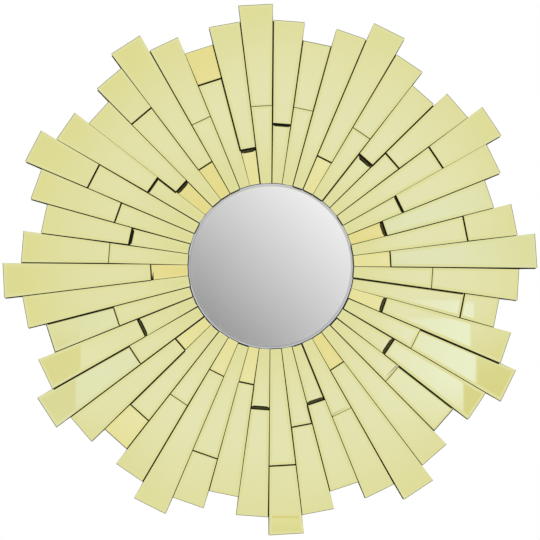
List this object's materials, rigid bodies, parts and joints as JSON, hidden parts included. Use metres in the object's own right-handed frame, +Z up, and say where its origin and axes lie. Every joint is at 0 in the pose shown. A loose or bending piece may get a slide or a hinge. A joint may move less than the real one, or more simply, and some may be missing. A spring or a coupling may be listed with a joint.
{
  "type": "sunburst wall mirror",
  "caption": "Wall mirror: a round bevelled silver mirror ringed by a sunburst of bevelled gold mirror strips at stepped heights on a black board, with a hanging cleat behind.",
  "frame": {"origin": "on the wall, at the middle of the hanging cleat's wall face, 140 mm above the centre of the round mirror", "axes": "+Z up, +Y into the wall, the front faces -Y, +X to the right seen from the front"},
  "size_m": [1.0022, 0.0406, 1.0022],
  "materials": {
    "gold_mirror": "polished gold-tinted mirror glass with ground bevels",
    "silver_mirror": "polished silver mirror glass with a ground bevel",
    "black_board": "fibreboard painted matt black"
  },
  "bodies": {
    "root": {"ray_01": "gold_mirror", "ray_02": "gold_mirror", "ray_03": "gold_mirror", "ray_04": "gold_mirror", "ray_05": "gold_mirror", "ray_06": "gold_mirror", "ray_07": "gold_mirror", "ray_08": "gold_mirror", "ray_09": "gold_mirror", "ray_10": "gold_mirror", "ray_11": "gold_mirror", "ray_12": "gold_mirror", "ray_13": "gold_mirror", "ray_14": "gold_mirror", "ray_15": "gold_mirror", "ray_16": "gold_mirror", "ray_17": "gold_mirror", "ray_18": "gold_mirror", "ray_19": "gold_mirror", "ray_20": "gold_mirror", "ray_21": "gold_mirror", "ray_22": "gold_mirror", "ray_23": "gold_mirror", "ray_24": "gold_mirror", "ray_25": "gold_mirror", "ray_26": "gold_mirror", "ray_27": "gold_mirror", "ray_28": "gold_mirror", "ray_29": "gold_mirror", "ray_30": "gold_mirror", "ray_31": "gold_mirror", "ray_32": "gold_mirror", "ray_33": "gold_mirror", "ray_34": "gold_mirror", "ray_35": "gold_mirror", "ray_36": "gold_mirror", "ray_37": "gold_mirror", "ray_38": "gold_mirror", "ray_39": "gold_mirror", "ray_40": "gold_mirror", "ray_41": "gold_mirror", "ray_42": "gold_mirror", "ray_43": "gold_mirror", "ray_44": "gold_mirror", "ray_45": "gold_mirror", "ray_46": "gold_mirror", "ray_47": "gold_mirror", "ray_48": "gold_mirror", "centre_mirror": "silver_mirror", "backing_board": "black_board", "hanging_cleat": "black_board", "lower_spacer": "black_board"}
  },
  "joints": []
}
